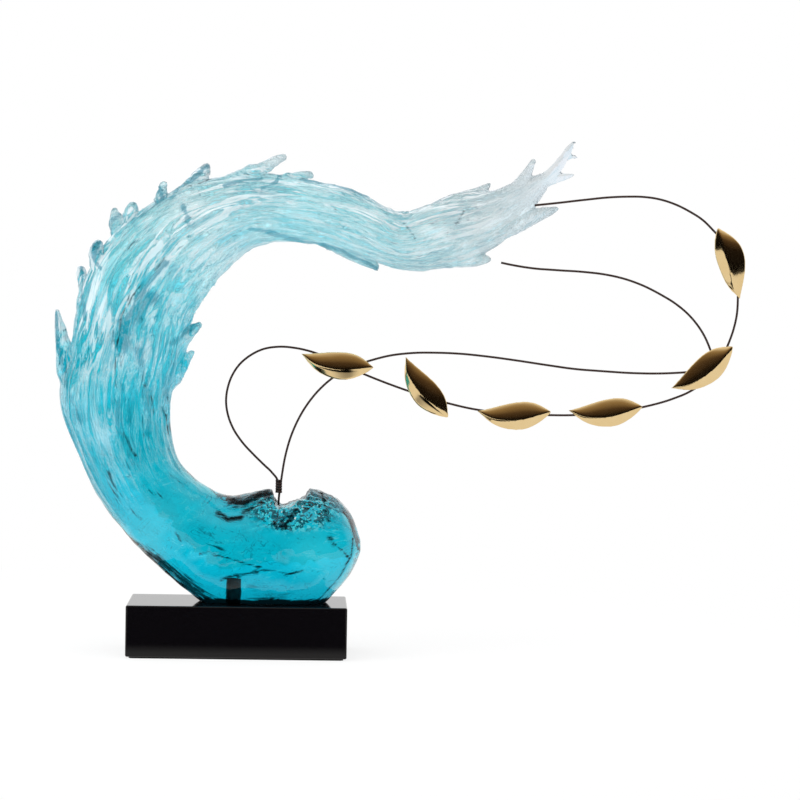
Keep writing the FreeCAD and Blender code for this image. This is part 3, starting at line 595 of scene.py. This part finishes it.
def streakLayers(tree, f):
    body = addNode(tree, "ShaderNodeValToRGB", {"Fac": f["along"]}, stops=glassLook["body"])
    patches = glassLook["patches"]
    field = noiseOf(tree, squeezed(tree, f["flow"], patches["squeeze"]), patches["noise"])
    share = computed(tree, "MULTIPLY", ranged(tree, field, *patches["level"]),
                     ranged(tree, f["along"], *patches["fade"]))
    colour = painted(tree, share, body.outputs["Color"], patches["colour"])
    threads = glassLook["threads"]
    windows = ranged(tree, noiseOf(tree, f["drawn"], threads["windows"]), *threads["windowLevel"])
    # painted highlight: pale threads, stronger on the outer side of the streaked wave
    white = computed(tree, "MULTIPLY", ranged(tree, f["threads"], threads["white"]), windows)
    white = computed(tree, "MULTIPLY", white, f["streaked"])
    white = computed(tree, "MULTIPLY", white, ranged(tree, f["across"], *threads["outward"]))
    colour = painted(tree, white, colour, threads["highlightWhite"])
    deep = computed(tree, "MULTIPLY", ranged(tree, f["threads"], threads["deep"]), f["streaked"])
    deep = computed(tree, "MULTIPLY", deep, f["fading"])
    colour = painted(tree, deep, colour, threads["deepColour"])
    # thin lines on the threads: white painted glints and dark teal veins
    for level, width, strength, glintAndVeinColour in glassLook["glintsAndVeins"]:
        glintAndVein = thinLines(tree, f["threads"], level, width, strength)
        colour = painted(tree, computed(tree, "MULTIPLY", glintAndVein, f["streaked"]), colour, glintAndVeinColour)
    return colour, white


def rimLayers(tree, f, colour):
    # the splash fingers are nearly clear; a painted pale rim lies where the surface turns away from the
    # view, and the fingers get a painted dark teal outline
    fingers, rim = glassLook["fingers"], glassLook["rim"]
    share = computed(tree, "MULTIPLY", f["tips"], fingers["strength"])
    colour = painted(tree, share, colour, fingers["colour"])
    share = computed(tree, "MULTIPLY", ranged(tree, f["facing"], *rim["facing"]),
                     ranged(tree, f["streaked"], *rim["fade"]))
    colour = painted(tree, share, colour, rim["colour"])
    # painted shade: a dark teal outline on the fingers where the surface turns away
    edge = computed(tree, "MULTIPLY", ranged(tree, f["facing"], *fingers["edge"]), f["tips"])
    return painted(tree, edge, colour, fingers["paintedOutlineColour"])


def markLayers(tree, f, colour):
    # painted caustics in the bulb, pale lines of light and dark lines of shade, then flecks in the wave,
    # then the strokes of deep teal and of near black, partly marks in the glass and partly painted shade
    causticLines, flecks = glassLook["causticLines"], glassLook["flecks"]
    field = noiseOf(tree, squeezed(tree, f["place"], causticLines["squeeze"]), causticLines["noise"])
    fade = ranged(tree, f["along"], *causticLines["fade"])
    for level, width, strength, causticColour in causticLines["lines"]:
        causticLine = computed(tree, "MULTIPLY", thinLines(tree, field, level, width, strength), fade)
        colour = painted(tree, causticLine, colour, causticColour)
    fleck = computed(tree, "MULTIPLY", ranged(tree, f["ragged"], *flecks["level"]), f["fading"])
    fleck = computed(tree, "MULTIPLY", fleck, f["streaked"])
    colour = painted(tree, fleck, colour, flecks["colour"])
    # teal and near black strokes, partly marks in the glass and partly painted shade
    for field, level, strength, darkMarkColour in glassLook["strokes"]:
        edge = computed(tree, "ADD", f["marks"][field], f["raggedly"])
        black = ranged(tree, edge, (level, level + glassLook["strokeEdge"]), (0.0, strength))
        colour = painted(tree, black, colour, darkMarkColour)
    return colour, black


def bulbLayers(tree, f, colour, foot):
    # painted light: two pools of paler light in the bulb; then painted shade, deeper teal towards the foot
    spot = f["spot"]
    flatSpot = addNode(tree, "ShaderNodeCombineXYZ", {"X": spot["X"], "Z": spot["Z"]}).outputs[0]
    for middle, reach, strength, gathered in glassLook["gathers"]:
        gap = addNode(tree, "ShaderNodeVectorMath", {0: flatSpot, 1: middle}, operation="DISTANCE")
        share = ranged(tree, gap.outputs["Value"], (reach, glassLook["gatherCore"]), (0.0, strength),
                       interpolation_type="SMOOTHSTEP")
        colour = painted(tree, share, colour, gathered)
    # painted shade: deeper teal over the lowest 45 mm of the glass
    under = glassLook["under"]
    share = ranged(tree, spot["Z"], (foot + under["height"], foot), (0.0, under["strength"]))
    colour = painted(tree, share, colour, under["colour"])
    # the foot mirrors the black stone in a ragged band
    footBand = glassLook["footBand"]
    low = computed(tree, "ADD", ranged(tree, spot["Z"], (foot + footBand["height"], foot)), f["raggedly"])
    band = ranged(tree, low, footBand["level"])
    colour = painted(tree, band, colour, footBand["colour"])
    # the fractured crater round the notch: chips 5 and 2 mm across, some dark, and some white that are
    # painted glints
    for scale, low, high, chipColour in glassLook["chips"]:
        chips = addNode(tree, "ShaderNodeTexVoronoi", {"Vector": f["place"], "Scale": scale})
        tone = addNode(tree, "ShaderNodeSeparateColor", {"Color": chips.outputs["Color"]})
        pick = ranged(tree, tone.outputs[0], (low, high))
        share = computed(tree, "MULTIPLY", f["marks"]["Z"], f["raggedly"])
        share = computed(tree, "MULTIPLY", ranged(tree, share, *glassLook["chipShare"]), pick)
        colour = painted(tree, share, colour, chipColour)
    return colour, band


def glassSkin(tree, f):
    ridges = glassLook["ridges"]
    fine = noiseOf(tree, squeezed(tree, f["flow"], ridges["squeeze"]), ridges["noise"])
    crease = ranged(tree, f["threads"], *ridges["crease"], interpolation_type="SMOOTHSTEP")
    height = computed(tree, "ADD", computed(tree, "MULTIPLY", fine, f["streaked"]),
                      computed(tree, "MULTIPLY", crease, f["streaked"]))
    bump = addNode(tree, "ShaderNodeBump", {"Height": height, "Strength": ridges["strength"],
                                            "Distance": ridges["depth"]})
    return bump.outputs["Normal"]


def glassMaterial(total, foot):
    # Soda glass, drawn hot: clear and thick, coloured in the pot, so it deepens in the bulb
    # and pales to nothing at the tips
    material, tree = newMaterial("Hot-worked soda glass")
    f = glassFields(tree, total)
    colour, white = streakLayers(tree, f)
    colour = rimLayers(tree, f, colour)
    colour, black = markLayers(tree, f, colour)
    colour, band = bulbLayers(tree, f, colour, foot)
    # where the pale threads carry their painted highlight, less light goes through, so they turn milky and
    # take the lamps' light
    milkyHighlight = ranged(tree, white, *glassLook["milkyHighlight"])
    # painted glow: a faint light of the glass's own colour, given off by the streaked wave
    glow = computed(tree, "MULTIPLY", ranged(tree, f["along"], *glassLook["glow"]),
                    ranged(tree, f["along"], *glassLook["paintedGlowEnd"]))
    glass = addNode(tree, "ShaderNodeBsdfPrincipled", {
        "Base Color": colour, "Roughness": glassLook["roughness"], "IOR": glassLook["ior"],
        "Transmission Weight": milkyHighlight, "Emission Color": colour, "Emission Strength": glow,
        "Normal": glassSkin(tree, f)})
    # where the near black marks and the foot band lie, the glass turns opaque: partly inclusions, partly
    # painted shade and the painted reflection of the black stone
    settings = glassLook["opaqueBlack"]
    opaqueBlack = addNode(tree, "ShaderNodeBsdfDiffuse", {"Color": hexColour(settings["colour"])})
    opaque = computed(tree, "MULTIPLY", computed(tree, "MAXIMUM", black, band), settings["opacity"])
    closeTree(tree, mixed(tree, opaque, glass.outputs[0], opaqueBlack.outputs[0]))
    return material


def simpleMaterial(name, look):
    # look: two tones, roughness, metal or not, grain and relief in mm, variation of the roughness
    material, tree = newMaterial(name)
    place = addNode(tree, "ShaderNodeTexCoord").outputs["Object"]
    texture = noiseOf(tree, place, {"Scale": 1 / (look["grain"] * mm), "Detail": 3.0})
    rough = ranged(tree, texture, (0.0, 1.0), [look["roughness"] * (1 + sign * look["variation"])
                                               for sign in (-1, 1)])
    tone = painted(tree, texture, hexColour(look["tones"][0]), look["tones"][1])
    bump = addNode(tree, "ShaderNodeBump", {"Height": texture, "Strength": 1.0,
                                            "Distance": look["relief"] * mm})
    shader = addNode(tree, "ShaderNodeBsdfPrincipled", {
        "Base Color": tone, "Roughness": rough, "Metallic": look["metal"], "Normal": bump.outputs["Normal"]})
    if "ior" in look:
        shader.inputs["IOR"].default_value = look["ior"]
    closeTree(tree, shader.outputs[0])
    return material


def dressNodes():
    # deep black with hardly a grain: a mirror for the glass that stands on it
    stone = simpleMaterial("Polished black stone", {
        "tones": ("070608", "0E0C0F"), "roughness": 0.07, "metal": 0.0, "grain": 2.5, "relief": 0.002,
        "variation": 0.3, "ior": 1.35})
    # matted fibres, no shine at all
    felt = simpleMaterial("Wool felt", {
        "tones": ("161617", "242426"), "roughness": 0.95, "metal": 0.0, "grain": 0.5, "relief": 0.2,
        "variation": 0.05})
    # a smooth, half clear film that squeezes out under the glass
    bedding = simpleMaterial("Clear silicone bedding", {
        "tones": ("BFD3D6", "CFE0E2"), "roughness": 0.4, "metal": 0.0, "grain": 4.0, "relief": 0.1,
        "variation": 0.2})
    # dull grey with the bloom of the plating
    steel = simpleMaterial("Zinc-plated steel", {
        "tones": ("5A5C60", "6C6E73"), "roughness": 0.35, "metal": 1.0, "grain": 2.0, "relief": 0.02,
        "variation": 0.3})
    # bright and pale, so that it hardly shows in the glass
    sleeve = simpleMaterial("Aluminium tube", {
        "tones": ("C9D6DA", "DCE6EA"), "roughness": 0.3, "metal": 1.0, "grain": 1.0, "relief": 0.01,
        "variation": 0.2})
    # black filled resin with a pitted skin
    resin = simpleMaterial("Epoxy adhesive", {
        "tones": ("0C1416", "1A2628"), "roughness": 0.5, "metal": 0.0, "grain": 3.0, "relief": 0.1,
        "variation": 0.2})
    # lumpy and darkened like the wires it joins
    solder = simpleMaterial("Patinated solder", {
        "tones": ("3A2F28", "55453A"), "roughness": 0.45, "metal": 0.8, "grain": 1.2, "relief": 0.1,
        "variation": 0.3})
    finishes = {
        "plinth": stone, "base_pad": felt, "foot_gasket": bedding, "anchor_insert": steel,
        "anchor_adhesive": resin, "fixing_bolt": steel, "fixing_washer": steel, "lock_washer": steel,
        "stem_sleeve": sleeve}
    for name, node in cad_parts.items():
        finish = solder if name.startswith("leaf_solder") else finishes.get(name)
        if finish:
            node.data.materials.clear()
            node.data.materials.append(finish)


def makeWires():
    # drawn wire, blackened: brown where the light rubs it, faint marks from the die
    darkWire = simpleMaterial("Blackened steel wire", {
        "tones": ("3C2F2C", "4C3B36"), "roughness": 0.5, "metal": 0.6, "grain": 0.8, "relief": 0.01,
        "variation": 0.3})
    sharpAngle = math.radians(38)  # edges over this stay sharp
    for node, name in (("stem_wire", "stemWire"), ("long_tendril", "longTendril"),
                       ("upper_tendril", "upperTendril"), ("tie_ferrule", "tieFerrule")):
        wire = copyNode(node, name, "spray")
        bpy.ops.object.shade_smooth_by_angle(angle=sharpAngle)
        wire.data.materials.append(darkWire)


def makeLeaves():
    # voxel in mm, then how often and how far each point moves to the middle of its neighbours
    leafSettings = {"voxel": 0.6, "softening": 30, "softenShare": 0.5}
    # bright gilding, worn soft at the edges, with the slow waves that hand polishing leaves
    gilt = simpleMaterial("Polished gilt brass", {
        "tones": ("E9CC95", "F2DAAA"), "roughness": 0.10, "metal": 1.0, "grain": 9.0, "relief": 0.02,
        "variation": 0.25})
    for number in range(1, 7):
        leaf = copyNode(f"leaf_{number}", f"leaf{number}", "spray")
        reskin(leaf, leafSettings["voxel"])
        soften = leaf.modifiers.new("softEdges", "SMOOTH")
        soften.factor = leafSettings["softenShare"]
        soften.iterations = leafSettings["softening"]
        bpy.ops.object.modifier_apply(modifier=soften.name)
        bpy.ops.object.shade_smooth()
        leaf.data.materials.append(gilt)


bpy.context.scene.view_settings.view_transform = "Standard"
makeCamera()
makeWorld()
makeFloor()
makeLamps()
print("studio ready")
dressNodes()
print("nodes dressed")
makeWires()
makeLeaves()
print("spray ready")
makeWaveGlass()
print("glass ready")
